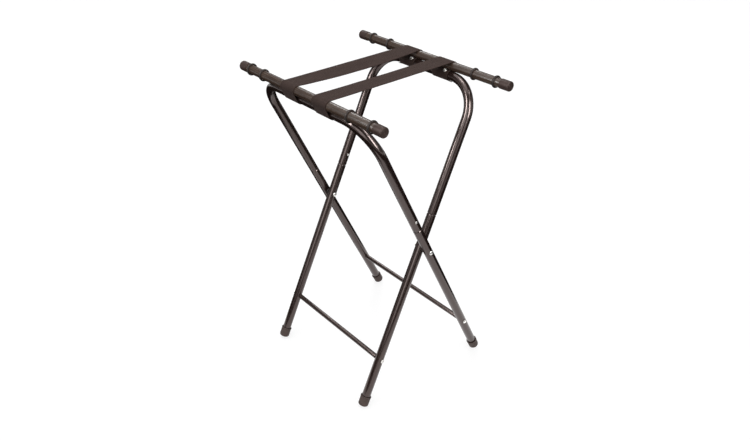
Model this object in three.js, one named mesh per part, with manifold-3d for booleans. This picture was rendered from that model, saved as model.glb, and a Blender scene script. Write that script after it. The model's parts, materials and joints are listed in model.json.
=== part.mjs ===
// A folding tray stand. Two frames of bent tube cross at a pair of pivot rivets, each carries a
// rail along its top, and two webbing straps between the rails stop the frames at their open angle.
// Millimetres. +Z is up, Y runs along the rails and X is the way the frames fold. The origin is on
// the floor under the middle of the stand. The outer frame's rail is at -X, the inner frame's at +X.

import * as THREE from "three";
import { mergeVertices } from "three/addons/utils/BufferGeometryUtils.js";
import Module from "manifold-3d";

const wasm = await Module();
wasm.setup();

// The open stand
const RAIL_HEIGHT = 772; // floor to the rails' axes
const PIVOT_HEIGHT = 396;
const RAIL_REACH = 180; // middle of the stand to each rail's axis
const GAP = 0.3; // left between pieces that touch

// Tubes
const TUBE_RADIUS = 11;
const TUBE_WALL = 1.2;
const BEND_RADIUS = 79;
const BEND_STEPS = 6;
const SPLAY = THREE.MathUtils.degToRad(0.5); // each leg leans outwards this much within its frame
const SPIGOT_RADIUS = 9.4; // the lower leg's swaged end, inside the upper tube
const SPIGOT_LENGTH = 44;
const SWAGE_LENGTH = 2.5;
const HALF_ROUND = 8; // divisions in half of a tube's circle
const ROUND = 2 * HALF_ROUND;
const SMALL_ROUND = 8; // divisions round a fastener

// Rails
const RAIL_RADIUS = 10.5;
const RAIL_WALL = 1.5;
const RAIL_LENGTH = 507; // over both end caps
const CAP_RADIUS = 11.4;
const CAP_LENGTH = 26;
const CAP_FLOOR = 4;
const CAP_EDGE = 2.5; // radius of the rounded end
const CAP_BEVEL = 0.3; // round the open end
const RING_RADIUS = 14.4;
const RING_WIDTH = 4.4;

// Feet
const FOOT_RADIUS = 13.1;
const FOOT_LENGTH = 27;
const FOOT_EDGE = 5; // radius of the rounded bottom
const FOOT_LIP = 0.6; // how far the lip at the top stands proud
const FOOT_LIP_WIDTH = 3;
const FOOT_SLACK = 1; // between the tube's end and the tip's floor
const LEG_END_UP = 8; // floor to the tube's end, along the leg
const SOLE_DEPTH = 1.2; // how far the floor flattens the rounded sole

// Cross rods
const ROD_RADIUS = 6;
const ROD_DOWN = 305; // from the pivot, along the frame
const ROD_CHAMFER = 0.5;
const ROD_BORE_DEPTH = 18;

// Straps
const STRAP_PLACE = 57; // middle of the stand to the middle of a strap
const STRAP_WIDTH = 50;
const STRAP_THICKNESS = 1.4;
const STRAP_SAG = 2;
const STRAP_END = THREE.MathUtils.degToRad(334); // where a wrap ends, round from the frame's top
const STRAP_SCREW_TURN = THREE.MathUtils.degToRad(52); // from the frame's top, on the inner side
const STRAP_SCREW_SHIFT = -12; // along Y, from the strap's middle line
const WRAP_STEP = THREE.MathUtils.degToRad(20);
const SPAN_STEPS = 8;

// Fasteners
const PIVOT_PIN_RADIUS = 3;
const PIVOT_HEAD = { radius: 5.5, height: 2.8 };
const DOME_SHAPE = [[1, 0.3], [0.72, 0.82], [0, 1]]; // shares of a head's radius and height
const SPACER_RADIUS = 7.5;
const SCREW_RADIUS = 2;
const SCREW_CLEARANCE = 0.35;
const ROD_SCREW_HEAD = { radius: 5.2, height: 2.4 };
const ROD_SCREW_REACH = 14; // past the leg, into the rod
const RAIL_SCREW_HEAD = { radius: 4, height: 2.4 };
const RAIL_SCREW_REACH = 6; // past the tube, into the rail
const STRAP_SCREW_HEAD = { radius: 3.4, height: 2.2 };
const STRAP_SCREW_LENGTH = 9;
const WASHER_RADIUS = 5.5;
const WASHER_THICKNESS = 1;
const RIVET_RADIUS = 1.6;
const RIVET_HEAD = { radius: 3.3, height: 1.3 };
const RIVET_LENGTH = 4;
const RIVET_ABOVE_JOINT = 30;
const JOINT_UP = 84; // from the pivot to the joint in each leg

// What differs between the two frames. towards is the direction of local X that faces the other
// rail, and a rivet's facing is 1 where its head is on the outside of the leg.
const OUTER = {
  name: "outer",
  towards: 1,
  legPlace: 198, // middle of the stand to a leg's axis, at the pivot
  rivetFacing: 1,
  railScrewPlace: 108,
  ringPlaces: [-217, -148, 164, 215],
};
const INNER = {
  name: "inner",
  towards: -1,
  legPlace: 171.4,
  rivetFacing: -1,
  railScrewPlace: 87,
  ringPlaces: [-212, -147, 142, 206],
};
const SIDES = [
  { name: "front", sign: -1 },
  { name: "back", sign: 1 },
];

// Worked out from the above
const ACROSS_TUBE = 2 * TUBE_RADIUS;
const SCREW_BORE = SCREW_RADIUS + SCREW_CLEARANCE;
const RISE = RAIL_HEIGHT - PIVOT_HEIGHT;
const LEAN = Math.atan2(RAIL_REACH, RISE); // of each frame from upright
const RAIL_UP = Math.hypot(RAIL_REACH, RISE); // pivot to rail, along the frame
const RUN_UP = RAIL_UP - RAIL_RADIUS - GAP - TUBE_RADIUS; // pivot to the tube under the rail
const FLOOR_DOWN = PIVOT_HEIGHT / Math.cos(LEAN) / Math.cos(SPLAY); // pivot to floor, along a leg
const RAIL_WRAP_RADIUS = RAIL_RADIUS + GAP + STRAP_THICKNESS / 2;
const RUN_WRAP_RADIUS = TUBE_RADIUS + GAP + STRAP_THICKNESS / 2;
const RIGHT_ANGLE = Math.PI / 2;
const AXIS_Y = new THREE.Vector3(0, 1, 0);

const paint = (color, roughness, metalness) =>
  new THREE.MeshStandardMaterial({ color, roughness, metalness });
const FINISH = {
  tube: paint(0x171413, 0.22, 0.3),
  rail: paint(0x3b332f, 0.5, 0),
  cap: paint(0x3d3433, 0.55, 0),
  ring: paint(0x0d0b0b, 0.7, 0),
  foot: paint(0x2a2625, 0.75, 0),
  webbing: paint(0x423a38, 0.9, 0),
  zinc: paint(0xc9c8c4, 0.35, 0.9),
  nylon: paint(0x1c1a19, 0.5, 0),
};

// A curve through stations, with one step of an extrusion between each two of them.
class StationCurve extends THREE.Curve {
  constructor(stations) {
    super();
    this.stations = stations;
  }

  getPoint(t, target = new THREE.Vector3()) {
    const last = this.stations.length - 1;
    const index = Math.min(Math.floor(t * last), last - 1);
    return target.lerpVectors(this.stations[index], this.stations[index + 1], t * last - index);
  }

  getPointAt(u, target) {
    return this.getPoint(u, target);
  }

  getTangentAt(u, target = new THREE.Vector3()) {
    const half = 0.5 / (this.stations.length - 1);
    const ahead = this.getPoint(Math.min(u + half, 1));
    const behind = this.getPoint(Math.max(u - half, 0));
    return target.subVectors(ahead, behind).normalize();
  }
}

function toSolid(geometry) {
  const bare = geometry.clone();
  bare.deleteAttribute("normal");
  bare.deleteAttribute("uv");
  const merged = mergeVertices(bare, 1e-3);
  return new wasm.Manifold(
    new wasm.Mesh({
      numProp: 3,
      vertProperties: merged.attributes.position.array,
      triVerts: new Uint32Array(merged.index.array),
    }),
  );
}

function cut(geometry, cutters) {
  const solid = cutters.reduce((rest, cutter) => rest.subtract(toSolid(cutter)), toSolid(geometry));
  const mesh = solid.getMesh();
  const result = new THREE.BufferGeometry();
  result.setAttribute("position", new THREE.BufferAttribute(mesh.vertProperties, 3));
  result.setIndex(new THREE.BufferAttribute(mesh.triVerts, 1));
  result.computeVertexNormals();
  return result;
}

function addMesh(group, name, geometry, material, position = new THREE.Vector3()) {
  const mesh = new THREE.Mesh(geometry, material);
  mesh.name = name;
  mesh.position.copy(position);
  group.add(mesh);
  return mesh;
}

function annulus(outer, inner) {
  const shape = new THREE.Shape();
  shape.absarc(0, 0, outer, 0, 2 * Math.PI);
  const hole = new THREE.Path();
  hole.absarc(0, 0, inner, 0, 2 * Math.PI, true);
  shape.holes.push(hole);
  return shape;
}

// A turned piece about Y, from a profile of [radius, height] points.
function turned(profile, segments = ROUND) {
  return new THREE.LatheGeometry(
    profile.map(([radius, height]) => new THREE.Vector2(radius, height)),
    segments,
  );
}

// Profile points round a quarter circle, from one angle to another about [radius, height].
function cornerPoints([radius, height], size, from, to, steps = 2) {
  return Array.from({ length: steps + 1 }, (_, i) => {
    const angle = from + ((to - from) * i) / steps;
    return [radius + size * Math.cos(angle), height + size * Math.sin(angle)];
  });
}

// A drill for a hole along Y through the origin, turned back by tilt so that it follows the frame.
function drillAlongY(radius, from, to, tilt) {
  const drill = new THREE.CylinderGeometry(radius, radius, to - from, SMALL_ROUND);
  drill.translate(0, (from + to) / 2, 0);
  drill.rotateX(-tilt);
  return drill;
}

// The profile of a domed head whose flat underside is at height 0.
function domePoints({ radius, height }) {
  return [[radius, 0], ...DOME_SHAPE.map(([across, up]) => [across * radius, up * height])];
}

// A domed head on a shank that runs down from the origin.
function headedPin(head, shankRadius, shankLength) {
  const shank = [
    [0, -shankLength],
    [shankRadius, -shankLength],
    [shankRadius, 0],
  ];
  return turned([...shank, ...domePoints(head)], SMALL_ROUND);
}

// A headed pin whose head faces the way given.
function addPin(group, name, pin, position, facing) {
  const mesh = addMesh(group, name, pin, FINISH.zinc, position);
  mesh.quaternion.setFromUnitVectors(AXIS_Y, facing);
}

// The point on a leg's axis at a distance up the leg from the pivot.
function legPoint(frame, sign, along) {
  const place = sign * (frame.legPlace - along * Math.sin(SPLAY));
  return new THREE.Vector3(0, place, along * Math.cos(SPLAY));
}

// A frame's upper tube: up one leg from its joint, round the bends under the rail, and down.
function upperTubeStations(frame) {
  const corner = frame.legPlace - RUN_UP * Math.tan(SPLAY);
  const turn = RIGHT_ANGLE - SPLAY;
  const bendPlace = corner - BEND_RADIUS * Math.tan(turn / 2);
  const half = [legPoint(frame, -1, JOINT_UP + GAP)];
  for (let i = 0; i <= BEND_STEPS; i += 1) {
    const angle = SPLAY + (turn * i) / BEND_STEPS;
    const place = -bendPlace - BEND_RADIUS * Math.cos(angle);
    half.push(new THREE.Vector3(0, place, RUN_UP - BEND_RADIUS * (1 - Math.sin(angle))));
  }
  const mirrored = half.map((point) => new THREE.Vector3(0, -point.y, point.z)).reverse();
  return [...half, ...mirrored];
}

function upperFrame(frame) {
  const stations = upperTubeStations(frame);
  const tube = new THREE.ExtrudeGeometry(annulus(TUBE_RADIUS, TUBE_RADIUS - TUBE_WALL), {
    steps: stations.length - 1,
    curveSegments: HALF_ROUND,
    extrudePath: new StationCurve(stations),
  });
  const cutters = [];
  for (const { sign } of SIDES) {
    const rivetHole = drillAlongY(RIVET_RADIUS + SCREW_CLEARANCE, 0, ACROSS_TUBE, 0);
    if (sign * frame.rivetFacing < 0) rivetHole.rotateX(Math.PI);
    rivetHole.translate(...legPoint(frame, sign, JOINT_UP + RIVET_ABOVE_JOINT));
    const screwHole = strapScrewHole(frame);
    screwHole.translate(0, sign * STRAP_PLACE + STRAP_SCREW_SHIFT, 0);
    const railScrewHole = drillAlongY(SCREW_BORE, -ACROSS_TUBE, ACROSS_TUBE, -RIGHT_ANGLE);
    railScrewHole.translate(0, sign * frame.railScrewPlace, RUN_UP);
    cutters.push(rivetHole, screwHole, railScrewHole);
  }
  return cut(tube, cutters);
}

// The way a strap screw's head faces, square to the tube on the frame's inner side.
function strapScrewFacing(frame) {
  const across = frame.towards * Math.sin(STRAP_SCREW_TURN);
  return new THREE.Vector3(across, 0, Math.cos(STRAP_SCREW_TURN));
}

function strapScrewHole(frame) {
  const hole = new THREE.CylinderGeometry(SCREW_BORE, SCREW_BORE, ACROSS_TUBE, SMALL_ROUND);
  hole.translate(0, TUBE_RADIUS, 0);
  hole.applyQuaternion(
    new THREE.Quaternion().setFromUnitVectors(AXIS_Y, strapScrewFacing(frame)),
  );
  hole.translate(0, 0, RUN_UP);
  return hole;
}

// A lower leg along Z, with its pivot at the origin and its swaged end up in the upper tube.
function lowerLeg(frame, sign) {
  const bottom = -FLOOR_DOWN + LEG_END_UP;
  const top = JOINT_UP + SPIGOT_LENGTH;
  const neck = JOINT_UP - SWAGE_LENGTH;
  const leg = turned([
    [TUBE_RADIUS, bottom],
    [TUBE_RADIUS, neck],
    [SPIGOT_RADIUS, JOINT_UP],
    [SPIGOT_RADIUS, top],
    [SPIGOT_RADIUS - TUBE_WALL, top],
    [SPIGOT_RADIUS - TUBE_WALL, JOINT_UP],
    [TUBE_RADIUS - TUBE_WALL, neck],
    [TUBE_RADIUS - TUBE_WALL, bottom],
    [TUBE_RADIUS, bottom],
  ]);
  leg.rotateX(RIGHT_ANGLE);
  const tilt = sign * SPLAY;
  const pivotHole = drillAlongY(PIVOT_PIN_RADIUS + GAP, -ACROSS_TUBE, ACROSS_TUBE, tilt);
  const rodHole = drillAlongY(SCREW_BORE, -ACROSS_TUBE, ACROSS_TUBE, tilt);
  rodHole.translate(0, 0, -ROD_DOWN);
  const rivetHole = drillAlongY(RIVET_RADIUS + SCREW_CLEARANCE, 0, ACROSS_TUBE, 0);
  if (sign * frame.rivetFacing < 0) rivetHole.rotateX(Math.PI);
  rivetHole.translate(0, 0, JOINT_UP + RIVET_ABOVE_JOINT);
  return cut(leg, [pivotHole, rodHole, rivetHole]);
}

// A slip-on rubber tip along Z, with the floor's flat cut across its rounded sole.
function foot(frame, sign) {
  const inside = TUBE_RADIUS + GAP;
  const cornerDrop = FOOT_EDGE * (1 - Math.cos(LEAN)) + (FOOT_RADIUS - FOOT_EDGE) * Math.sin(LEAN);
  const base = -FLOOR_DOWN + (cornerDrop - SOLE_DEPTH) / Math.cos(LEAN);
  const rim = base + FOOT_LENGTH;
  const seat = -FLOOR_DOWN + LEG_END_UP - FOOT_SLACK;
  const cup = turned([
    [0, base],
    ...cornerPoints([FOOT_RADIUS - FOOT_EDGE, base + FOOT_EDGE], FOOT_EDGE, -RIGHT_ANGLE, 0),
    [FOOT_RADIUS, rim - FOOT_LIP_WIDTH],
    [FOOT_RADIUS + FOOT_LIP, rim - FOOT_LIP_WIDTH + FOOT_LIP],
    [FOOT_RADIUS + FOOT_LIP, rim - FOOT_LIP],
    [FOOT_RADIUS, rim],
    [inside, rim],
    [inside, seat],
    [0, seat],
  ]);
  cup.rotateX(RIGHT_ANGLE);
  const floor = new THREE.BoxGeometry(FOOT_LENGTH, FOOT_LENGTH, FOOT_LENGTH);
  floor.scale(2, 2, 1);
  floor.translate(0, 0, -FOOT_LENGTH / 2);
  floor.rotateY(frame.towards * LEAN);
  floor.translate(0, 0, -PIVOT_HEIGHT / Math.cos(LEAN));
  floor.rotateX(-sign * SPLAY);
  return cut(cup, [floor]);
}

function rail(frame) {
  const length = RAIL_LENGTH - 2 * (CAP_FLOOR + GAP);
  const tube = new THREE.ExtrudeGeometry(annulus(RAIL_RADIUS, RAIL_RADIUS - RAIL_WALL), {
    depth: length,
    bevelEnabled: false,
    curveSegments: HALF_ROUND,
  });
  tube.translate(0, 0, -length / 2);
  tube.rotateX(RIGHT_ANGLE);
  const holes = SIDES.map(({ sign }) => {
    const hole = drillAlongY(SCREW_BORE, -ACROSS_TUBE, 0, -RIGHT_ANGLE);
    return hole.translate(0, sign * frame.railScrewPlace, 0);
  });
  return cut(tube, holes);
}

// A slip-on end cap along +Y, with its closed end at the rail's outer end.
function railCap() {
  const inside = RAIL_RADIUS + GAP;
  const end = RAIL_LENGTH / 2;
  const corner = [CAP_RADIUS - CAP_EDGE, end - CAP_EDGE];
  return turned([
    [0, end - CAP_FLOOR],
    [inside, end - CAP_FLOOR],
    [inside, end - CAP_LENGTH],
    [CAP_RADIUS - CAP_BEVEL, end - CAP_LENGTH],
    [CAP_RADIUS, end - CAP_LENGTH + CAP_BEVEL],
    ...cornerPoints(corner, CAP_EDGE, 0, RIGHT_ANGLE),
    [0, end],
  ]);
}

function rubberRing() {
  const inside = RAIL_RADIUS + GAP;
  const half = RING_WIDTH / 2;
  const crown = cornerPoints([RING_RADIUS - half, 0], half, -RIGHT_ANGLE, RIGHT_ANGLE, 3);
  return turned([[inside, -half], ...crown, [inside, half], [inside, -half]]);
}

// A plain washer or spacer about Y, centred on the origin.
function disc(radius, bore, thickness) {
  const half = thickness / 2;
  return turned([
    [bore, -half],
    [radius, -half],
    [radius, half],
    [bore, half],
    [bore, -half],
  ]);
}

// A cross rod along Y between the two legs, with a blind bore in each end for its screw.
function crossRod(length) {
  const half = length / 2;
  const oneEnd = [
    [ROD_RADIUS, half - ROD_CHAMFER],
    [ROD_RADIUS - ROD_CHAMFER, half],
    [SCREW_BORE, half],
    [SCREW_BORE, half - ROD_BORE_DEPTH],
    [0, half - ROD_BORE_DEPTH],
  ];
  const otherEnd = oneEnd.map(([radius, height]) => [radius, -height]).reverse();
  return turned([...otherEnd, ...oneEnd]);
}

// Webbing of even thickness along a line of { point, normal } stations in the XZ plane.
function band(stations) {
  const edge = (side) =>
    stations.map(({ point, normal }) =>
      point.clone().addScaledVector(normal, (side * STRAP_THICKNESS) / 2),
    );
  const shape = new THREE.Shape([...edge(1), ...edge(-1).reverse()]);
  const strip = new THREE.ExtrudeGeometry(shape, { depth: STRAP_WIDTH, bevelEnabled: false });
  strip.translate(0, 0, -STRAP_WIDTH / 2);
  return strip.rotateX(RIGHT_ANGLE);
}

// Stations round a circle, by angle from the frame's top and away from the other rail.
function roundStations(frame, height, radius, from, to) {
  const steps = Math.ceil((to - from) / WRAP_STEP);
  return Array.from({ length: steps + 1 }, (_, i) => {
    const angle = from + ((to - from) * i) / steps;
    const normal = new THREE.Vector2(-frame.towards * Math.sin(angle), Math.cos(angle));
    const point = normal.clone().multiplyScalar(radius).add(new THREE.Vector2(0, height));
    return { point, normal };
  });
}

// One strap's hold on a frame: over the rail, down its outer side, under the tube and up again.
function strapWrap(frame) {
  const stations = [
    ...roundStations(frame, RAIL_UP, RAIL_WRAP_RADIUS, -LEAN, RIGHT_ANGLE),
    ...roundStations(frame, RUN_UP, RUN_WRAP_RADIUS, RIGHT_ANGLE, STRAP_END),
  ];
  const hole = strapScrewHole(frame).translate(0, STRAP_SCREW_SHIFT, 0);
  return cut(band(stations), [hole]);
}

// The strap between the rails, with a slight sag.
function strapSpan() {
  const reach = RAIL_REACH - GAP;
  const stations = Array.from({ length: SPAN_STEPS + 1 }, (_, i) => {
    const share = (2 * i) / SPAN_STEPS - 1;
    const drop = STRAP_SAG * (1 - share * share);
    const slope = (2 * STRAP_SAG * share) / reach;
    return {
      point: new THREE.Vector2(reach * share, RAIL_HEIGHT + RAIL_WRAP_RADIUS - drop),
      normal: new THREE.Vector2(-slope, 1).normalize(),
    };
  });
  return band(stations);
}

// The rail, its end caps and rubber rings, and the screws that hold it to the tube below.
function addRail(group, frame) {
  const top = new THREE.Vector3(0, 0, RAIL_UP);
  addMesh(group, `${frame.name}_rail`, rail(frame), FINISH.rail, top);
  frame.ringPlaces.forEach((place, i) => {
    const position = new THREE.Vector3(0, place, RAIL_UP);
    addMesh(group, `${frame.name}_rail_ring_${i + 1}`, rubberRing(), FINISH.ring, position);
  });
  const down = new THREE.Vector3(0, 0, -1);
  for (const { name, sign } of SIDES) {
    const cap = addMesh(group, `${frame.name}_${name}_rail_cap`, railCap(), FINISH.cap, top);
    if (sign < 0) cap.rotation.x = Math.PI;
    const seat = new THREE.Vector3(0, sign * frame.railScrewPlace, RUN_UP - TUBE_RADIUS - GAP);
    const pin = headedPin(RAIL_SCREW_HEAD, SCREW_RADIUS, ACROSS_TUBE + RAIL_SCREW_REACH);
    addPin(group, `${frame.name}_${name}_rail_screw`, pin, seat, down);
  }
}

// The lower legs with their feet, and the rivets that hold them in the upper tube.
function addLegs(group, frame) {
  for (const { name, sign } of SIDES) {
    const leg = new THREE.Group();
    leg.position.set(0, sign * frame.legPlace, 0);
    leg.rotation.x = sign * SPLAY;
    group.add(leg);
    addMesh(leg, `${frame.name}_${name}_leg`, lowerLeg(frame, sign), FINISH.tube);
    addMesh(leg, `${frame.name}_${name}_foot`, foot(frame, sign), FINISH.foot);
    const out = sign * frame.rivetFacing;
    const along = JOINT_UP + RIVET_ABOVE_JOINT;
    const seat = new THREE.Vector3(0, out * (TUBE_RADIUS + GAP), along);
    const pin = headedPin(RIVET_HEAD, RIVET_RADIUS, RIVET_LENGTH);
    addPin(leg, `${frame.name}_${name}_leg_rivet`, pin, seat, new THREE.Vector3(0, out, 0));
  }
}

// The cross rod between the lower legs, with a screw through each leg into its end.
function addCrossRod(group, frame) {
  const end = legPoint(frame, 1, -ROD_DOWN);
  const length = 2 * (end.y - TUBE_RADIUS - 2 * GAP);
  const middle = new THREE.Vector3(0, 0, end.z);
  addMesh(group, `${frame.name}_cross_rod`, crossRod(length), FINISH.tube, middle);
  for (const { name, sign } of SIDES) {
    const seat = new THREE.Vector3(0, sign * (end.y + TUBE_RADIUS + GAP), end.z);
    const pin = headedPin(ROD_SCREW_HEAD, SCREW_RADIUS, ACROSS_TUBE + ROD_SCREW_REACH);
    addPin(group, `${frame.name}_${name}_rod_screw`, pin, seat, new THREE.Vector3(0, sign, 0));
  }
}

// The end of each strap that is fixed to this frame, with its washer and screw.
function addStrapEnds(group, frame) {
  const facing = strapScrewFacing(frame);
  const washerOut = TUBE_RADIUS + STRAP_THICKNESS + 2 * GAP + WASHER_THICKNESS / 2;
  const screwOut = washerOut + WASHER_THICKNESS / 2 + GAP;
  for (const { name, sign } of SIDES) {
    const part = `${name}_strap_${frame.name}`;
    const place = new THREE.Vector3(0, sign * STRAP_PLACE, 0);
    addMesh(group, `${part}_wrap`, strapWrap(frame), FINISH.webbing, place);
    const screwPlace = sign * STRAP_PLACE + STRAP_SCREW_SHIFT;
    const onTube = (out) =>
      new THREE.Vector3(0, screwPlace, RUN_UP).addScaledVector(facing, out);
    const washer = disc(WASHER_RADIUS, SCREW_BORE, WASHER_THICKNESS);
    addPin(group, `${part}_washer`, washer, onTube(washerOut), facing);
    const screw = headedPin(STRAP_SCREW_HEAD, SCREW_RADIUS, STRAP_SCREW_LENGTH);
    addPin(group, `${part}_screw`, screw, onTube(screwOut), facing);
  }
}

function buildFrame(frame) {
  const group = new THREE.Group();
  group.position.z = PIVOT_HEIGHT;
  group.rotation.y = -frame.towards * LEAN;
  addMesh(group, `${frame.name}_upper_frame`, upperFrame(frame), FINISH.tube);
  addRail(group, frame);
  addLegs(group, frame);
  addCrossRod(group, frame);
  addStrapEnds(group, frame);
  return group;
}

// A rivet through each crossing pair of legs, with a spacer between them.
function buildPivots() {
  const group = new THREE.Group();
  group.position.z = PIVOT_HEIGHT;
  const outside = OUTER.legPlace + TUBE_RADIUS + GAP;
  const inside = INNER.legPlace - TUBE_RADIUS - GAP;
  const between = OUTER.legPlace - INNER.legPlace - ACROSS_TUBE;
  const middle = (OUTER.legPlace + INNER.legPlace) / 2;
  for (const { name, sign } of SIDES) {
    const seat = new THREE.Vector3(0, sign * outside, 0);
    const pin = pivotRivet(outside - inside);
    addPin(group, `${name}_pivot_rivet`, pin, seat, new THREE.Vector3(0, sign, 0));
    const spacer = disc(SPACER_RADIUS, PIVOT_PIN_RADIUS + GAP, between - 2 * GAP);
    const place = new THREE.Vector3(0, sign * middle, 0);
    addMesh(group, `${name}_pivot_spacer`, spacer, FINISH.nylon, place);
  }
  return group;
}

// A rivet with a domed head at each end of a shank that runs down from the origin.
function pivotRivet(length) {
  const dome = domePoints(PIVOT_HEAD);
  const farDome = dome.map(([radius, up]) => [radius, -length - up]).reverse();
  const shank = [
    [PIVOT_PIN_RADIUS, -length],
    [PIVOT_PIN_RADIUS, 0],
  ];
  return turned([...farDome, ...shank, ...dome], SMALL_ROUND);
}

const stand = new THREE.Group();
stand.add(buildFrame(OUTER), buildFrame(INNER), buildPivots());
for (const { name, sign } of SIDES) {
  const place = new THREE.Vector3(0, sign * STRAP_PLACE, 0);
  addMesh(stand, `${name}_strap_span`, strapSpan(), FINISH.webbing, place);
}

export default stand;
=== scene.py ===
# The looks of a folding tray stand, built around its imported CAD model. Metres, in the CAD's frame.
# Each frame's pieces are drawn in millimetres in the frame's own axes, with the origin at the
# pivots, Z up the frame and Y along the rails, and then placed.
import json
import math

import bmesh
import bpy
from mathutils import Matrix, Vector, noise


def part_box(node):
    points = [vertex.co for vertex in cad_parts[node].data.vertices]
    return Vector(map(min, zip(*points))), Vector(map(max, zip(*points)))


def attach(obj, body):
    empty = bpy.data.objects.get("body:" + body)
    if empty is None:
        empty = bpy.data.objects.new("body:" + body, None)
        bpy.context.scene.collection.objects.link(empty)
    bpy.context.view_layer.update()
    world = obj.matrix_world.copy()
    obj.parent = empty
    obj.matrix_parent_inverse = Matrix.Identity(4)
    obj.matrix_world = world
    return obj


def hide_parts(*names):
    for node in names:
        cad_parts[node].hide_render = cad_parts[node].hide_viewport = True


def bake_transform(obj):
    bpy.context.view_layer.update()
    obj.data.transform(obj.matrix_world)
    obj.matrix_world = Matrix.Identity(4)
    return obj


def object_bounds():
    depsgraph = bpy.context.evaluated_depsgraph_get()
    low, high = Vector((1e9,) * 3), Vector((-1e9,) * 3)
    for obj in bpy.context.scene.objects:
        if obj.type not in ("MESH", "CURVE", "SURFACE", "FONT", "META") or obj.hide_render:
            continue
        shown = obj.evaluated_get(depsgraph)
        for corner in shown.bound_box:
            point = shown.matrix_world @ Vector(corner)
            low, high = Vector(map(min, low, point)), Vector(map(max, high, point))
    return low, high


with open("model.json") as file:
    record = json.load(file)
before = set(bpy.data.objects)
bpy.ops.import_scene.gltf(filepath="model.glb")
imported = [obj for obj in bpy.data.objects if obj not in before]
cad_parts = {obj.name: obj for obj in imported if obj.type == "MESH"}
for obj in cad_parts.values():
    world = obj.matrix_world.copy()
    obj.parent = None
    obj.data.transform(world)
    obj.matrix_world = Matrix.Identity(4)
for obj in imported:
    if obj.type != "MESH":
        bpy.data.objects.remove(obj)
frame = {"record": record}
cad_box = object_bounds()

# ---------------------------------------------------------------- sizes, in millimetres
# The size of a round piece is its radius.
GAP = 0.3  # between touching pieces
RIM = 0.35  # rounding of a cut tube's end

# Frames and legs
TUBE = 11.0
TUBE_WALL = 1.2
BEND_RADIUS = 79.0
SPLAY = math.radians(0.5)  # of each leg, outwards
JOINT_UP = 84.0  # from the pivot to the joint in each leg
SPIGOT = 9.4  # a lower leg's swaged end, inside the upper tube
SPIGOT_LENGTH = 44.0
SWAGE_LENGTH = 2.5  # up to the joint
SWAGE_SEAT = 0.4  # below the joint, where the spigot has its full size
LEG_END_UP = 8.0  # from the floor line to the leg's cut end
ROD = 6.0
ROD_DOWN = 305.0  # from the pivot, along the frame
ROD_EDGE = 0.6

# Rails, caps and grip rings
RAIL = 10.5
RAIL_WALL = 1.5
CAP = 11.4
CAP_LENGTH = 26.0
CAP_FLOOR = 4.0
CAP_EDGE = 2.5
CAP_GROOVE = 6.5  # a moulded groove in the cap's end, and the gate mark in its middle
CAP_GROOVE_HALF = 0.7
CAP_GROOVE_DEPTH = 0.35
CAP_GROOVE_SLOPE = 0.3
CAP_GATE = 1.5
CAP_GATE_DEPTH = 0.5
CAP_GATE_SLOPE = 0.6
RING = 14.4
RING_WIDTH = 4.4
RING_CROWN = 0.7  # how far the ring's middle stands above its edges

# Feet
FOOT = 13.1
FOOT_LENGTH = 27.0
FOOT_EDGE = 5.0
FOOT_WAIST = 12.0
FOOT_LIP = 0.6
FOOT_LIP_WIDTH = 3.0
FOOT_INSIDE_DROP = 1.0  # from the leg's cut end down to the tip's inside
SOLE = 5.0
SOLE_DEPTH = 1.2

# Straps
STRAP_PLACE = 57.0  # middle of the stand to the middle of a strap
STRAP_WIDTH = 50.0
STRAP_THICKNESS = 1.4
STRAP_END = math.radians(334)  # where a wrap ends, round from the frame's top
STRAP_RIPPLE = 0.35
RIPPLE_LENGTH = 45.0  # along the strap
RIPPLE_WIDTH = 22.0

# Fasteners
SCREW_TURN = math.radians(52)  # from the frame's top, on the inner side
SCREW_SHIFT = -12.0  # along Y, from the strap's middle line
SCREW = 2.0
SCREW_HOLE = 2.35
ROD_SCREW = dict(radius=5.2, height=2.4, length=2 * TUBE, shank=SCREW)
RAIL_SCREW = dict(radius=4.0, height=2.4, length=2 * TUBE, shank=SCREW)
STRAP_SCREW = dict(radius=3.4, height=2.2, length=9.0, shank=SCREW)
WASHER = 5.5
WASHER_THICKNESS = 1.0
LEG_RIVET = dict(radius=3.3, height=1.3, length=4.0, shank=1.6, dimple=1.1)
RIVET_ABOVE_JOINT = 30.0
PIVOT_HEAD = 5.5
PIVOT_HEAD_HEIGHT = 2.8
PIVOT_HEAD_EDGE = 0.25
PIVOT_PIN = 3.0
SPACER = 7.5

# What differs between the frames. towards is the direction of a frame's X that faces the other
# rail, and rivet_facing is 1 where a rivet's head is on the outside of the leg.
OUTER = dict(name="outer", towards=1, leg_place=198.0, rivet_facing=1)
INNER = dict(name="inner", towards=-1, leg_place=171.4, rivet_facing=-1)
SIDES = (("front", -1), ("back", 1))

# ---------------------------------------------------------------- where things are, from the CAD
MM = 0.001
RIGHT_ANGLE = math.pi / 2


def node_middle(node):
    low, high = (Vector(corner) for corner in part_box(node))
    return (low + high) / 2


PIVOT = Vector(frame["record"]["behaviour"]["joints"][0]["pos_m"])
rail_from_pivot = node_middle("inner_rail") - PIVOT
LEAN = math.atan2(rail_from_pivot.x, rail_from_pivot.z)  # of each frame from upright
RAIL_UP = math.hypot(rail_from_pivot.x, rail_from_pivot.z) / MM  # from the pivot, up the frame
RUN_UP = RAIL_UP - RAIL - GAP - TUBE  # to the level part of the upper tube
RAIL_LENGTH = (cad_box[1][1] - cad_box[0][1]) / MM
FLOOR_DOWN = PIVOT.z / MM / math.cos(LEAN) / math.cos(SPLAY)  # along a leg


def frame_axes(side):
    turn = Matrix.Rotation(-side["towards"] * LEAN, 4, "Y")
    return Matrix.Translation(PIVOT) @ turn @ Matrix.Scale(MM, 4)


def leg_axes(side, sign):
    place = Matrix.Translation((0, sign * side["leg_place"], 0))
    return frame_axes(side) @ place @ Matrix.Rotation(sign * SPLAY, 4, "X")


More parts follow.
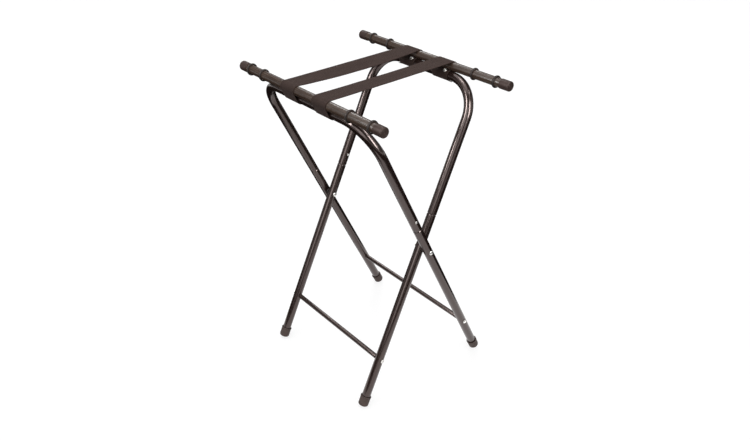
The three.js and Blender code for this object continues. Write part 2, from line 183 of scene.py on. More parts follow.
def facing(position, direction):
    """Axes whose Z runs along direction, at position."""
    turn = Vector((0, 0, 1)).rotation_difference(Vector(direction)).to_matrix().to_4x4()
    return Matrix.Translation(position) @ turn


# ---------------------------------------------------------------- camera
CAMERA_PLACE = Vector((-0.9930, -1.1915, 1.3420))
CAMERA_YAW = math.radians(39.957)
CAMERA_PITCH = math.radians(31.544)
CAMERA_ROLL = math.radians(0.640)
CAMERA_LENS = 34.49

camera_data = bpy.data.cameras.new("camera")
camera_data.lens = CAMERA_LENS
camera_data.sensor_width = 36
camera = bpy.data.objects.new("camera", camera_data)
camera.matrix_world = (
    Matrix.Translation(CAMERA_PLACE)
    @ Matrix.Rotation(-CAMERA_YAW, 4, "Z")
    @ Matrix.Rotation(RIGHT_ANGLE - CAMERA_PITCH, 4, "X")
    @ Matrix.Rotation(-CAMERA_ROLL, 4, "Z")
)
bpy.context.scene.collection.objects.link(camera)
bpy.context.scene.camera = camera


# ---------------------------------------------------------------- materials
WARM = (1.0, 0.85, 0.80, 1.0)  # tint of a dark plastic's or rubber's reflections


class Nodes:
    """A material's node tree, with short ways to add and join nodes."""

    def __init__(self, name):
        self.material = bpy.data.materials.new(name)
        self.material.use_nodes = True
        self.tree = self.material.node_tree
        self.shader = self.tree.nodes["Principled BSDF"]
        self.coordinates = self.tree.nodes.new("ShaderNodeTexCoord")

    def add(self, kind, inputs=(), **settings):
        node = self.tree.nodes.new("ShaderNode" + kind)
        for key, value in settings.items():
            setattr(node, key, value)
        for key, value in dict(inputs).items():
            self.put(node.inputs[key], value)
        return node

    def put(self, socket, value):
        if isinstance(value, bpy.types.NodeSocket):
            self.tree.links.new(value, socket)
        else:
            socket.default_value = value

    def stretched(self, source, scale):
        inputs = {"Vector": self.coordinates.outputs[source], "Scale": scale}
        return self.add("Mapping", inputs).outputs[0]

    def noise(self, vector, scale, detail=3.0, roughness=0.5):
        inputs = {"Vector": vector, "Scale": scale, "Detail": detail, "Roughness": roughness}
        return self.add("TexNoise", inputs).outputs["Fac"]

    def ramp(self, factor, *stops):
        """A colour or grey ramp through (position, value) stops."""
        node = self.add("ValToRGB", {"Fac": factor})
        elements = node.color_ramp.elements
        while len(elements) < len(stops):
            elements.new(0.5)
        for element, (position, value) in zip(elements, stops):
            element.position = position
            colour = value if isinstance(value, tuple) else (value, value, value)
            element.color = (*colour, 1)
        return node.outputs["Color"]

    def math(self, operation, first, second=0.0):
        node = self.add("Math", operation=operation)
        for socket, value in zip(node.inputs, (first, second)):
            self.put(socket, value)
        return node.outputs[0]

    def bump(self, height, strength, distance):
        inputs = {"Height": height, "Strength": strength, "Distance": distance}
        return self.add("Bump", inputs).outputs[0]

    def finish(self, colour, roughness, normal=None, **constants):
        """Joins up the shader. constants are its other sockets, with _ for each space."""
        self.put(self.shader.inputs["Base Color"], colour)
        self.put(self.shader.inputs["Roughness"], roughness)
        if normal is not None:
            self.put(self.shader.inputs["Normal"], normal)
        for key, value in constants.items():
            self.shader.inputs[key.replace("_", " ")].default_value = value
        return self.material


def tube_enamel():
    n = Nodes("tube_enamel")
    place = n.coordinates.outputs["Object"]
    cloud = n.noise(place, 9.0)
    colour = n.ramp(cloud, (0.3, (0.018, 0.0095, 0.0075)), (0.7, (0.028, 0.0155, 0.0125)))
    roughness = n.ramp(n.noise(place, 60.0), (0.3, 0.15), (0.7, 0.22))
    peel = n.noise(place, 90.0, 2.0)
    normal = n.bump(peel, 0.02, 0.0005)
    return n.finish(colour, roughness, normal, Specular_IOR_Level=1.0,
                    Specular_Tint=(1.0, 0.82, 0.78, 1.0))


def rail_coating():
    n = Nodes("rail_coating")
    streaks = n.noise(n.stretched("Object", (1, 0.012, 1)), 900.0, 3.0, 0.6)
    cloud = n.noise(n.coordinates.outputs["Object"], 40.0)
    mixed = n.math("ADD", n.math("MULTIPLY", streaks, 0.8), n.math("MULTIPLY", cloud, 0.2))
    colour = n.ramp(mixed, (0.35, (0.050, 0.030, 0.0205)), (0.5, (0.083, 0.052, 0.0365)),
                    (0.66, (0.134, 0.088, 0.063)))
    roughness = n.ramp(streaks, (0.3, 0.22), (0.7, 0.34))
    return n.finish(colour, roughness, n.bump(streaks, 0.2, 0.0003), Specular_IOR_Level=0.55)


def cap_plastic():
    n = Nodes("cap_plastic")
    place = n.coordinates.outputs["Object"]
    cloud = n.noise(place, 45.0)
    colour = n.ramp(cloud, (0.3, (0.050, 0.029, 0.024)), (0.7, (0.068, 0.040, 0.034)))
    grain = n.noise(place, 1500.0, 2.0)
    roughness = n.ramp(n.noise(place, 220.0), (0.3, 0.44), (0.7, 0.56))
    normal = n.bump(grain, 0.15, 0.0003)
    return n.finish(colour, roughness, normal, Specular_IOR_Level=0.35, Specular_Tint=WARM)


def rubber(name, dark, light, grain_scale):
    n = Nodes(name)
    place = n.coordinates.outputs["Object"]
    colour = n.ramp(n.noise(place, 70.0), (0.3, dark), (0.7, light))
    grain = n.noise(place, grain_scale, 3.0)
    roughness = n.ramp(n.noise(place, 160.0), (0.3, 0.52), (0.7, 0.70))
    return n.finish(colour, roughness, n.bump(grain, 0.2, 0.0003), Specular_Tint=WARM)


FLOAT_WIDTH = 0.0016  # of one raised thread in the weave, in metres
FLOAT_LENGTH = 0.0024


def webbing():
    """A close plain weave: rows of floats along the strap, every other row shifted by half."""
    n = Nodes("webbing")
    uv = n.add("SeparateXYZ", {"Vector": n.coordinates.outputs["UV"]}).outputs
    column = n.math("MULTIPLY", uv[0], 1 / FLOAT_WIDTH)
    row = n.math("MULTIPLY", uv[1], 1 / FLOAT_LENGTH)
    odd = n.math("MULTIPLY", n.math("FLOOR", column), 0.5)
    across = n.math("SINE", n.math("MULTIPLY", n.math("FRACT", column), math.pi))
    along = n.math("SINE", n.math("MULTIPLY", n.math("FRACT", n.math("ADD", row, odd)), math.pi))
    weave = n.math("POWER", n.math("MULTIPLY", across, along), 0.6)
    fibres = n.noise(n.stretched("UV", (9000, 900, 1)), 1.0, 3.0)
    cloud = n.noise(n.stretched("UV", (60, 25, 1)), 1.0, 4.0)
    height = n.math("ADD", weave, n.math("MULTIPLY", fibres, 0.25))
    # Painted shade: the colour darkens in the hollows between the floats, where the weave is low,
    # and the cloud adds random tone on top.
    weave_shade_and_tone = n.math("ADD", n.math("MULTIPLY", weave, 0.55), n.math("MULTIPLY", cloud, 0.45))
    colour = n.ramp(weave_shade_and_tone, (0.15, (0.026, 0.0155, 0.0127)), (0.55, (0.050, 0.0308, 0.0255)),
                    (0.85, (0.069, 0.0438, 0.0362)))
    roughness = n.ramp(weave, (0.0, 0.95), (1.0, 0.8))
    normal = n.bump(height, 0.5, 0.0004)
    return n.finish(colour, roughness, normal, Specular_IOR_Level=0.2,
                    Specular_Tint=(1.0, 0.80, 0.75, 1.0), Sheen_Weight=0.06, Sheen_Roughness=0.5,
                    Sheen_Tint=WARM)


def zinc_fastener():
    n = Nodes("zinc_fastener")
    place = n.coordinates.outputs["Object"]
    colour = n.ramp(n.noise(place, 500.0), (0.3, (0.66, 0.64, 0.60)), (0.7, (0.86, 0.85, 0.83)))
    roughness = n.ramp(n.noise(place, 800.0), (0.3, 0.22), (0.7, 0.38))
    scratches = n.noise(n.stretched("Object", (1, 6, 1)), 1200.0, 2.0)
    return n.finish(colour, roughness, n.bump(scratches, 0.1, 0.0002), Metallic=1.0)


MATERIALS = {
    "tube_enamel": tube_enamel(),
    "rail_coating": rail_coating(),
    "cap_plastic": cap_plastic(),
    "ring_rubber": rubber("ring_rubber", (0.010, 0.0075, 0.0065), (0.018, 0.0135, 0.012), 1400.0),
    "foot_rubber": rubber("foot_rubber", (0.052, 0.036, 0.032), (0.088, 0.061, 0.054), 1100.0),
    "webbing": webbing(),
    "zinc_fastener": zinc_fastener(),
    "spacer_nylon": rubber("spacer_nylon", (0.016, 0.015, 0.015), (0.026, 0.024, 0.024), 1700.0),
}


# ---------------------------------------------------------------- mesh tools
def rounded(corners, steps=5):
    """A profile through (radius, height, fillet) corners, each fillet drawn as an arc."""
    points = []
    for i, (radius, height, fillet) in enumerate(corners):
        here = Vector((radius, height))
        if fillet <= 0 or i in (0, len(corners) - 1):
            points.append(here)
            continue
        before = (Vector(corners[i - 1][:2]) - here).normalized()
        after = (Vector(corners[i + 1][:2]) - here).normalized()
        half = before.angle(after) / 2
        if half > RIGHT_ANGLE - 0.01:  # so nearly straight that a fillet has no length
            points.append(here)
            continue
        middle = here + (before + after).normalized() * fillet / math.sin(half)
        reach = fillet / math.tan(half)
        first, last = here + before * reach - middle, here + after * reach - middle
        sweep = first.angle_signed(last)
        for k in range(steps + 1):
            turn = Matrix.Rotation(-sweep * k / steps, 2)
            points.append(middle + turn @ first)
    return points


def surface(name, grid, material, across, along, around=True, closed=False):
    """A mesh of quads over a grid of points. Its UV is (across, along) in metres. around joins the
    last column to the first, and closed joins the last row to the first."""
    mesh = bpy.data.meshes.new(name)
    builder = bmesh.new()
    layer = builder.loops.layers.uv.new("UVMap")
    rows, columns = len(grid), len(grid[0])
    vertices = [[builder.verts.new(point) for point in row] for row in grid]
    for i in range(rows if closed else rows - 1):
        for j in range(columns if around else columns - 1):
            corners = ((i, j), (i, j + 1), (i + 1, j + 1), (i + 1, j))
            face = builder.faces.new([vertices[a % rows][b % columns] for a, b in corners])
            face.smooth = True
            for loop, (a, b) in zip(face.loops, corners):
                loop[layer].uv = (across[b], along[a])
    bmesh.ops.remove_doubles(builder, verts=builder.verts, dist=1e-7)
    bmesh.ops.dissolve_degenerate(builder, edges=builder.edges, dist=1e-8)
    bmesh.ops.recalc_face_normals(builder, faces=builder.faces)
    builder.to_mesh(mesh)
    builder.free()
    mesh.set_sharp_from_angle(angle=math.radians(50))
    mesh.materials.append(MATERIALS[material])
    piece = bpy.data.objects.new(name, mesh)
    bpy.context.scene.collection.objects.link(piece)
    return piece


def measured(points):
    """The distance along a row of points, at each point and back at the first."""
    total, distances = 0.0, [0.0]
    for before, after in zip(points, points[1:] + points[:1]):
        total += (after - before).length
        distances.append(total)
    return distances


def turned(name, profile, axes, material, segments=64, closed=False, shape=None):
    """A piece turned about Z from (radius, height) points in millimetres. shape moves a point
    before it is placed."""
    grid = []
    for radius, height in profile:
        row = []
        for k in range(segments):
            angle = 2 * math.pi * k / segments
            point = Vector((radius * math.cos(angle), radius * math.sin(angle), height))
            row.append(axes @ (shape(point) if shape else point))
        grid.append(row)
    widest = max(radius for radius, _ in profile)
    across = [2 * math.pi * widest * MM * k / segments for k in range(segments + 1)]
    along = [distance * MM for distance in measured([Vector(p) for p in profile])]
    return surface(name, grid, material, across, along, closed=closed)


def add(piece, body, *nodes):
    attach(piece, body)
    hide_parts(*nodes)


# ---------------------------------------------------------------- tubes
BEND_STEPS = 28
TUBE_SEGMENTS = 56
LEG_STATIONS = (RIM, 1.0, 30.0, 90.0, 150.0)  # up the straight part of a leg
TOP_STATIONS = (0.3, 0.6, 0.9)  # shares of the way from a bend to the middle


def upper_tube(side):
    """One length of tube: up from one joint, round two bends and down to the other joint."""
    corner = side["leg_place"] - RUN_UP * math.tan(SPLAY)
    turn = RIGHT_ANGLE - SPLAY
    bend_place = corner - BEND_RADIUS * math.tan(turn / 2)
    up = JOINT_UP + GAP
    start = Vector((-(side["leg_place"] - up * math.sin(SPLAY)), up * math.cos(SPLAY)))
    upward = Vector((math.sin(SPLAY), math.cos(SPLAY)))
    half = [(start + upward * distance, upward) for distance in LEG_STATIONS]
    for i in range(BEND_STEPS + 1):
        angle = SPLAY + turn * i / BEND_STEPS
        spot = Vector((-bend_place - BEND_RADIUS * math.cos(angle),
                       RUN_UP - BEND_RADIUS * (1 - math.sin(angle))))
        half.append((spot, Vector((math.sin(angle), math.cos(angle)))))
    for share in TOP_STATIONS:
        half.append((Vector((-bend_place * (1 - share), RUN_UP)), Vector((1, 0))))
    mirrored = [(Vector((-spot.x, spot.y)), Vector((way.x, -way.y))) for spot, way in half]
    line = half + mirrored[::-1]
    axes = frame_axes(side)

    def ring(spot, way, radius):
        outward = Vector((-way.y, way.x))
        points = []
        for k in range(TUBE_SEGMENTS):
            angle = 2 * math.pi * k / TUBE_SEGMENTS
            flat = spot + outward * radius * math.cos(angle)
            points.append(axes @ Vector((radius * math.sin(angle), flat.x, flat.y)))
        return points

    inner = TUBE - TUBE_WALL
    finish, downward = Vector((-start.x, start.y)), Vector((upward.x, -upward.y))
    rows = [ring(start, upward, TUBE - RIM)]
    rows += [ring(spot, way, TUBE) for spot, way in line]
    rows += [ring(finish, downward, TUBE - RIM), ring(finish, downward, inner)]
    rows += [ring(spot, way, inner) for spot, way in line[::-1]]
    rows += [ring(start, upward, inner)]
    across = [2 * math.pi * TUBE * MM * k / TUBE_SEGMENTS for k in range(TUBE_SEGMENTS + 1)]
    along = measured([row[0] for row in rows])
    name = side["name"] + "_upper_frame"
    piece = surface(name + "_tube", rows, "tube_enamel", across, along, closed=True)
    add(piece, side["name"] + "_frame", name)


def lower_leg(side, label, sign):
    bottom = -FLOOR_DOWN + LEG_END_UP
    neck = JOINT_UP - SWAGE_LENGTH
    top = JOINT_UP + SPIGOT_LENGTH
    inner = TUBE - TUBE_WALL
    profile = rounded([
        (inner, bottom, 0),
        (TUBE, bottom, RIM),
        (TUBE, neck, 0.4),
        (SPIGOT, JOINT_UP - SWAGE_SEAT, 0.3),
        (SPIGOT, top, RIM),
        (SPIGOT - TUBE_WALL, top, RIM),
        (SPIGOT - TUBE_WALL, JOINT_UP, 1.0),
        (inner, neck, 1.0),
        (inner, bottom, 0),
    ])[:-1]
    name = f"{side['name']}_{label}_leg"
    axes = leg_axes(side, sign)
    piece = turned(name + "_tube", profile, axes, "tube_enamel", TUBE_SEGMENTS, closed=True)
    add(piece, side["name"] + "_frame", name)


def foot(side, label, sign):
    """A slip-on tip, flattened where it meets the floor."""
    inside = TUBE + GAP
    drop = FOOT_EDGE * (1 - math.cos(LEAN)) + (FOOT - FOOT_EDGE) * math.sin(LEAN)
    base = -FLOOR_DOWN + (drop - SOLE_DEPTH) / math.cos(LEAN)
    rim = base + FOOT_LENGTH
    seat = -FLOOR_DOWN + LEG_END_UP - FOOT_INSIDE_DROP
    profile = rounded([
        (0, base, 0),
        (SOLE, base, 0.5),
        (FOOT, base, FOOT_EDGE),
        (FOOT, base + FOOT_WAIST, 0),
        (FOOT, rim - FOOT_LIP_WIDTH, 0.4),
        (FOOT + FOOT_LIP, rim - FOOT_LIP_WIDTH + FOOT_LIP, 0.5),
        (FOOT + FOOT_LIP, rim, 0.9),
        (inside, rim, 0.5),
        (inside, seat, 0.5),
        (0, seat, 0),
    ], steps=8)
    name = f"{side['name']}_{label}_foot"
    axes = leg_axes(side, sign)
    piece = turned(name + "_tip", profile, axes, "foot_rubber")
    for vertex in piece.data.vertices:
        vertex.co.z = max(vertex.co.z, 0.0)
    add(piece, side["name"] + "_frame", name)


def cross_rod(side):
    end = (side["leg_place"] + ROD_DOWN * math.sin(SPLAY)) - TUBE - 2 * GAP
    down = -ROD_DOWN * math.cos(SPLAY)
    profile = rounded([
        (0, -end, 0),
        (ROD, -end, ROD_EDGE),
        (ROD, 0, 0),
        (ROD, end, ROD_EDGE),
        (0, end, 0),
    ])
    name = side["name"] + "_cross_rod"
    axes = frame_axes(side) @ facing((0, 0, down), (0, 1, 0))
    add(turned(name + "_bar", profile, axes, "tube_enamel", 40), side["name"] + "_frame", name)


# ---------------------------------------------------------------- fasteners
HEAD_EDGE = 0.2  # chamfer under a screw's head, which its recess doesn't reach
RIVET_EDGE = 0.15
DIMPLE_DEPTH = 0.5


def dome(radius, height, brim, steps):
    """A head's crown, from its brim to its middle. brim is a share of the height."""
    angles = [RIGHT_ANGLE * k / steps for k in range(steps, -1, -1)]
    return [(radius * math.sin(a), height * (brim + (1 - brim) * math.cos(a))) for a in angles]


def pin_profile(radius, crown, length, shank, edge):
    """A plain shank that runs down from a head's seat at 0, and the head."""
    points = [(0, -length), (shank, -length), (shank, 0), (radius - edge, 0), (radius, edge)]
    return [Vector(point) for point in points + crown]


def recess(width, depth, reach):
    """Sinks a cross into the top of a screw's head, with sloping sides and ends."""
    side_slope, end_slope = 0.25, 0.4

    def shape(point):
        nearest = min(abs(point.x), abs(point.y))
        farthest = max(abs(point.x), abs(point.y))
        across = min(1, max(0, (width - nearest) / side_slope))
        along = min(1, max(0, (reach - farthest) / end_slope))
        return point - Vector((0, 0, depth * across * along)) if point.z > HEAD_EDGE else point

    return shape


def pan_head(name, node, body, axes, radius, height, length, shank):
    """A cross-recessed pan head on its shank."""
    crown = dome(radius, height, brim=0.55, steps=18)
    profile = pin_profile(radius, crown, length, shank, HEAD_EDGE)
    shape = recess(radius * 0.16, height * 0.55, radius * 0.62)
    add(turned(name, profile, axes, "zinc_fastener", 96, shape=shape), body, node)


def rivet_head(name, node, body, axes, radius, height, length, shank, dimple):
    """A domed rivet, with the small hollow that a drawn pin leaves in the middle."""
    crown = dome(radius, height, brim=0.25, steps=12)
    profile = pin_profile(radius, crown, length, shank, RIVET_EDGE)

    def shape(point):
        distance = math.hypot(point.x, point.y)
        if point.z > 0 and distance < dimple:
            return point - Vector((0, 0, DIMPLE_DEPTH * (1 - (distance / dimple) ** 4)))
        return point

    add(turned(name, profile, axes, "zinc_fastener", 48, shape=shape), body, node)


def pivot_fasteners(label, sign):
    axes = Matrix.Translation(PIVOT) @ Matrix.Scale(MM, 4)
    outside = OUTER["leg_place"] + TUBE + GAP
    inside = INNER["leg_place"] - TUBE - GAP
    length = outside - inside
    near = dome(PIVOT_HEAD, PIVOT_HEAD_HEIGHT, brim=0.2, steps=12)
    far = [(across, -length - up) for across, up in near[::-1]]
    edge = PIVOT_HEAD - PIVOT_HEAD_EDGE
    profile = [*far, (edge, -length), (PIVOT_PIN, -length), (PIVOT_PIN, 0), (edge, 0), *near]
    place = axes @ facing((0, sign * outside, 0), (0, sign, 0))
    name = label + "_pivot_rivet"
    rivet = turned(name + "_pin", [Vector(p) for p in profile], place, "zinc_fastener", 48)
    add(rivet, "outer_frame", name)
    half = (OUTER["leg_place"] - INNER["leg_place"]) / 2 - TUBE - GAP
    ring = rounded([
        (PIVOT_PIN + GAP, -half, 0),
        (SPACER, -half, 0.4),
        (SPACER, half, 0.4),
        (PIVOT_PIN + GAP, half, 0.3),
        (PIVOT_PIN + GAP, -half, 0),
    ])[:-1]
    middle = (OUTER["leg_place"] + INNER["leg_place"]) / 2
    place = axes @ facing((0, sign * middle, 0), (0, 1, 0))
    name = label + "_pivot_spacer"
    spacer = turned(name + "_ring", ring, place, "spacer_nylon", 48, closed=True)
    add(spacer, "outer_frame", name)


def frame_fasteners(side):
    axes = frame_axes(side)
    body = side["name"] + "_frame"
    turn = Vector((side["towards"] * math.sin(SCREW_TURN), 0, math.cos(SCREW_TURN)))
    washer_out = TUBE + STRAP_THICKNESS + 2 * GAP + WASHER_THICKNESS / 2
    screw_out = washer_out + WASHER_THICKNESS / 2 + GAP
    for label, sign in SIDES:
        out = sign * side["rivet_facing"]
        along = JOINT_UP + RIVET_ABOVE_JOINT
        name = f"{side['name']}_{label}_leg_rivet"
        place = leg_axes(side, sign) @ facing((0, out * (TUBE + GAP), along), (0, out, 0))
        rivet_head(name + "_head", name, body, place, **LEG_RIVET)

        rod_end = side["leg_place"] + ROD_DOWN * math.sin(SPLAY)
        seat = (0, sign * (rod_end + TUBE + GAP), -ROD_DOWN * math.cos(SPLAY))
        name = f"{side['name']}_{label}_rod_screw"
        place = axes @ facing(seat, (0, sign, 0))
        pan_head(name + "_head", name, body, place, **ROD_SCREW)

        name = f"{side['name']}_{label}_rail_screw"
        at = node_middle(name).y / MM
        place = axes @ facing((0, at, RUN_UP - TUBE - GAP), (0, 0, -1))
        pan_head(name + "_head", name, body, place, **RAIL_SCREW)

        part = f"{label}_strap_{side['name']}"
        spot = Vector((0, sign * STRAP_PLACE + SCREW_SHIFT, RUN_UP))
        place = axes @ facing(spot + turn * washer_out, turn)
        half = WASHER_THICKNESS / 2
        plate = rounded([
            (SCREW_HOLE, -half, 0),
            (WASHER, -half, 0.15),
            (WASHER, half, 0.3),
            (SCREW_HOLE, half, 0.15),
            (SCREW_HOLE, -half, 0),
        ])[:-1]
        washer = turned(part + "_washer_plate", plate, place, "zinc_fastener", 48, closed=True)
        add(washer, body, part + "_washer")
        place = axes @ facing(spot + turn * screw_out, turn)
        pan_head(part + "_screw_head", part + "_screw", body, place, **STRAP_SCREW)


# ---------------------------------------------------------------- rails
def rail_pieces(side):
    axes = frame_axes(side) @ facing((0, 0, RAIL_UP), (0, 1, 0))
    body = side["name"] + "_frame"
    half = RAIL_LENGTH / 2
    end = half - CAP_FLOOR - GAP
    inner = RAIL - RAIL_WALL
    tube = rounded([
        (inner, -end, 0),
        (RAIL, -end, RIM),
        (RAIL, end, RIM),
        (inner, end, RIM),
        (inner, -end, 0),
    ])[:-1]
    name = side["name"] + "_rail"
    add(turned(name + "_tube", tube, axes, "rail_coating", 64, closed=True), body, name)
    for label, sign in SIDES:
        inside = RAIL + GAP
        groove_out, groove_in = CAP_GROOVE + CAP_GROOVE_HALF, CAP_GROOVE - CAP_GROOVE_HALF
        profile = rounded([
            (0, half - CAP_FLOOR, 0),
            (inside, half - CAP_FLOOR, 0),
            (inside, half - CAP_LENGTH, 0.1),
            (CAP, half - CAP_LENGTH, 0.35),
            (CAP, half, CAP_EDGE),
            (groove_out, half, 0.3),
            (groove_out - CAP_GROOVE_SLOPE, half - CAP_GROOVE_DEPTH, 0.2),
            (groove_in + CAP_GROOVE_SLOPE, half - CAP_GROOVE_DEPTH, 0.2),
            (groove_in, half, 0.3),
            (CAP_GATE, half, 0.3),
            (CAP_GATE - CAP_GATE_SLOPE, half - CAP_GATE_DEPTH, 0.3),
            (0, half - CAP_GATE_DEPTH, 0),
        ], steps=8)
        name = f"{side['name']}_{label}_rail_cap"
        place = frame_axes(side) @ facing((0, 0, RAIL_UP), (0, sign, 0))
        add(turned(name + "_shell", profile, place, "cap_plastic", 64), body, name)
    for i in range(4):
        name = f"{side['name']}_rail_ring_{i + 1}"
        at = node_middle(name).y / MM
        wide = RING_WIDTH / 2
        profile = rounded([
            (RAIL + GAP, -wide, 0),
            (RING - RING_CROWN, -wide, 0.9),
            (RING, 0, 2.2),
            (RING - RING_CROWN, wide, 0.9),
            (RAIL + GAP, wide, 0.3),
            (RAIL + GAP, -wide, 0),
        ], steps=7)[:-1]
        place = frame_axes(side) @ facing((0, at, RAIL_UP), (0, 1, 0))
        add(turned(name + "_band", profile, place, "ring_rubber", 72, closed=True), body, name)


# ---------------------------------------------------------------- straps
WRAP_STEP = math.radians(7)
SPAN_STEPS = 60
SECTION_STEPS = 22


def round_line(side, up, radius, start, end):
    """Points and normals round a circle across the frame, centred up the frame from the pivot, in
    the scene's axes but in millimetres. An angle is 0 at the frame's top."""
    steps = math.ceil(abs(end - start) / WRAP_STEP)
    turn = Matrix.Rotation(-side["towards"] * LEAN, 3, "Y")
    line = []
    for i in range(steps + 1):
        angle = start + (end - start) * i / steps
        normal = Vector((-side["towards"] * math.sin(angle), 0, math.cos(angle)))
        spot = turn @ (normal * radius + Vector((0, 0, up)))
        line.append((spot + PIVOT / MM, turn @ normal))
    return line


def wrap_line(side):
    """From the strap's end, back under the tube and over the rail, to where the span starts."""
    tube = round_line(side, RUN_UP, TUBE + GAP + STRAP_THICKNESS / 2, STRAP_END, RIGHT_ANGLE)
    rail = round_line(side, RAIL_UP, RAIL + GAP + STRAP_THICKNESS / 2, RIGHT_ANGLE, -LEAN)
    return tube + rail


def strap_line(sag):
    """The whole strap's middle line: (point, normal, share of the sag) at each station, in mm."""
    first = [(spot, normal, 0.0) for spot, normal in wrap_line(OUTER)]
    last = [(spot, normal, 0.0) for spot, normal in wrap_line(INNER)][::-1]
    start, end = first[-1][0], last[0][0]
    span = []
    for i in range(1, SPAN_STEPS):
        share = i / SPAN_STEPS
        hang = 4 * share * (1 - share)
        slope = 4 * sag * (1 - 2 * share) / (end.x - start.x)
        spot = start.lerp(end, share) - Vector((0, 0, sag * hang))
        span.append((spot, Vector((slope, 0, 1)).normalized(), hang))
    return first + span + last


def strap(label, sign, sag, tilt):
    """One length of webbing, drawn round both frames' tubes and rails. tilt lowers the span's front
    edge.
    """
    line = strap_line(sag)
    half_width, half_thick = STRAP_WIDTH / 2, STRAP_THICKNESS / 2
    edge = half_thick * 0.9
    flat = STRAP_WIDTH - 2 * edge
    section = []  # the top and one rounded edge, and then the same turned half round
    for i in range(SECTION_STEPS + 1):
        section.append((-half_width + edge + flat * i / SECTION_STEPS, half_thick))
    for i in range(1, 4):
        angle = RIGHT_ANGLE - math.pi * i / 4
        section.append((half_width - edge + edge * math.cos(angle), half_thick * math.sin(angle)))
    section += [(-y, -z) for y, z in section]
    rows = []
    for spot, normal, hang in line:
        row = []
        for y, z in section:
            drop = tilt * hang * (0.5 - y / STRAP_WIDTH)
            wave = noise.noise(Vector((spot.x / RIPPLE_LENGTH, y / RIPPLE_WIDTH + 9 * sign, 0)))
            ripple = STRAP_RIPPLE * wave * min(1, 3 * hang)
            place = Vector((spot.x, sign * STRAP_PLACE + y, spot.z))
            row.append((place + normal * (z + ripple) - Vector((0, 0, drop))) * MM)
        rows.append(row)
    across = measured([Vector((y, z)) * MM for y, z in section])
    along = measured([row[0] for row in rows])
    piece = surface(f"{label}_strap", rows, "webbing", across, along)
    close_ends(piece)
    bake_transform(piece)
    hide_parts(f"{label}_strap_span", f"{label}_strap_outer_wrap",
                f"{label}_strap_inner_wrap")
    middle = measured([spot for spot, _, _ in line])[-2] * MM


def close_ends(piece):
    """Fills the strap's two cut ends."""
    builder = bmesh.new()
    builder.from_mesh(piece.data)
    open_edges = [edge for edge in builder.edges if edge.is_boundary]
    bmesh.ops.holes_fill(builder, edges=open_edges)
    bmesh.ops.recalc_face_normals(builder, faces=builder.faces)
    builder.to_mesh(piece.data)
    builder.free()


# ---------------------------------------------------------------- the object
for side in (OUTER, INNER):
    upper_tube(side)
    cross_rod(side)
    rail_pieces(side)
    frame_fasteners(side)
    for label, sign in SIDES:
        lower_leg(side, label, sign)
        foot(side, label, sign)
for label, sign in SIDES:
    pivot_fasteners(label, sign)
strap("front", -1, sag=1.5, tilt=-1.0)
strap("back", 1, sag=0.5, tilt=6.0)


# ---------------------------------------------------------------- floor, lights and world
FLOOR_SIZE = 60
FLOOR_DROP = 0.0002  # below the feet
CARD_UP = 0.001
SKY = (0.20, 0.20, 0.205, 1)
WHITE = (1, 1, 1, 1)


def floor_card(name, width, depth, material):
    """A flat rectangle on the floor, which is no part of the object."""
    mesh = bpy.data.meshes.new(name)
    corners = [(-width / 2, -depth / 2, 0), (width / 2, -depth / 2, 0),
               (width / 2, depth / 2, 0), (-width / 2, depth / 2, 0)]
    mesh.from_pydata(corners, [], [(0, 1, 2, 3)])
    mesh.materials.append(material)
    card = bpy.data.objects.new(name, mesh)
    bpy.context.scene.collection.objects.link(card)
    return card


def pale_floor():
    n = Nodes("floor")
    cloud = n.noise(n.coordinates.outputs["Object"], 0.6)
    colour = n.ramp(cloud, (0.3, (0.24, 0.24, 0.24)), (0.7, (0.26, 0.26, 0.26)))
    material = n.finish(colour, 0.7, Emission_Color=WHITE, Emission_Strength=0.80)
    floor = floor_card("floor", FLOOR_SIZE, FLOOR_SIZE, material)
    floor.location.z = -FLOOR_DROP
    floor.visible_diffuse = False


def flag(name, place, width, depth):
    """A black card on the floor, seen only in reflections, which gives the gloss its dark side."""
    n = Nodes(name)
    material = n.finish((0.002, 0.002, 0.002, 1), 1.0, Specular_IOR_Level=0.0)
    card = floor_card(name, width, depth, material)
    card.location = (*place, CARD_UP)
    card.visible_camera = False
    card.visible_diffuse = False
    card.visible_shadow = False
    card.visible_transmission = False


def place_light(name, data, source, diffuse):
    """Adds a light that comes from the direction source. Where diffuse is False, only gloss
    shows it."""
    light = bpy.data.objects.new(name, data)
    light.visible_diffuse = diffuse
    light.rotation_euler = source.to_track_quat("Z", "Y").to_euler()
    bpy.context.scene.collection.objects.link(light)
    return light


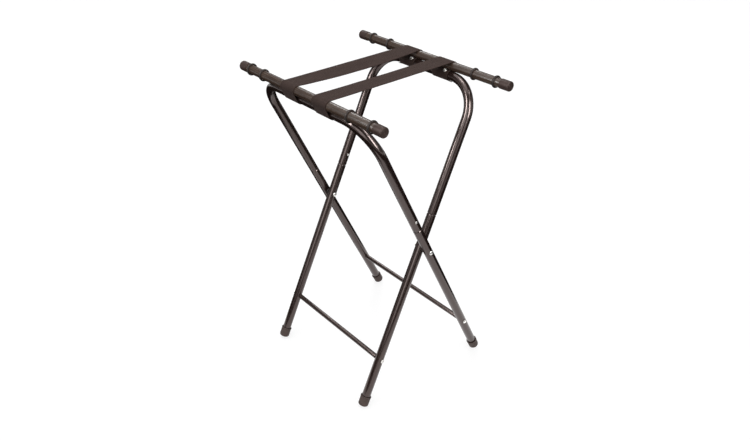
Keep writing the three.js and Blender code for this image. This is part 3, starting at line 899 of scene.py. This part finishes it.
def sun(name, source, strength, spread, diffuse=True):
    """A soft light from the direction source. spread is in degrees."""
    data = bpy.data.lights.new(name, "SUN")
    data.energy = strength
    data.angle = math.radians(spread)
    place_light(name, data, Vector(source), diffuse)


def softbox(name, place, target, width, height, power):
    """A rectangle of light that only gloss shows."""
    data = bpy.data.lights.new(name, "AREA")
    data.shape = "RECTANGLE"
    data.size = width
    data.size_y = height
    data.energy = power
    light = place_light(name, data, Vector(place) - Vector(target), diffuse=False)
    light.location = place


def white_world():
    """White behind the object, and a dim even sky for everything else."""
    world = bpy.data.worlds.new("world")
    bpy.context.scene.world = world
    world.use_nodes = True
    tree = world.node_tree
    sky = tree.nodes["Background"]
    sky.inputs["Color"].default_value = SKY
    pale = tree.nodes.new("ShaderNodeBackground")
    pale.inputs["Color"].default_value = WHITE
    path = tree.nodes.new("ShaderNodeLightPath")
    mix = tree.nodes.new("ShaderNodeMixShader")
    tree.links.new(path.outputs["Is Camera Ray"], mix.inputs[0])
    tree.links.new(sky.outputs[0], mix.inputs[1])
    tree.links.new(pale.outputs[0], mix.inputs[2])
    tree.links.new(mix.outputs[0], tree.nodes["World Output"].inputs[0])


pale_floor()
flag("flag_right", (2.5, 0), width=4.1, depth=9.0)
flag("flag_left", (-3.0, 0), width=4.0, depth=9.0)
flag("flag_front", (-0.275, -2.95), width=1.45, depth=4.0)
flag("flag_back", (-0.275, 2.35), width=1.45, depth=4.0)
flag("flag_near", (-0.72, 0.1), width=0.56, depth=1.0)
sun("overhead", (-0.10, 0.25, 1), strength=1.15, spread=60)
sun("front", (0.20, -0.80, 0.60), strength=0.7, spread=60)
sun("back", (0.45, 0.70, 0.62), strength=0.45, spread=16)
sun("side", (-0.90, -0.30, 0.35), strength=0.80, spread=40)
sun("left_glint", (-0.10, 0.25, 1), strength=0.5, spread=12, diffuse=False)
sun("right_glint", (0.32, -0.41, 0.85), strength=0.5, spread=12, diffuse=False)
softbox("left", (-1.36, 0.37, 1.48), (0.13, -0.17, 0.69), width=0.45, height=0.80, power=23)
softbox("right", (-0.12, -1.59, 1.47), (0, -0.18, 0.72), width=0.55, height=1.25, power=32)
white_world()
bpy.context.scene.view_settings.view_transform = "Standard"
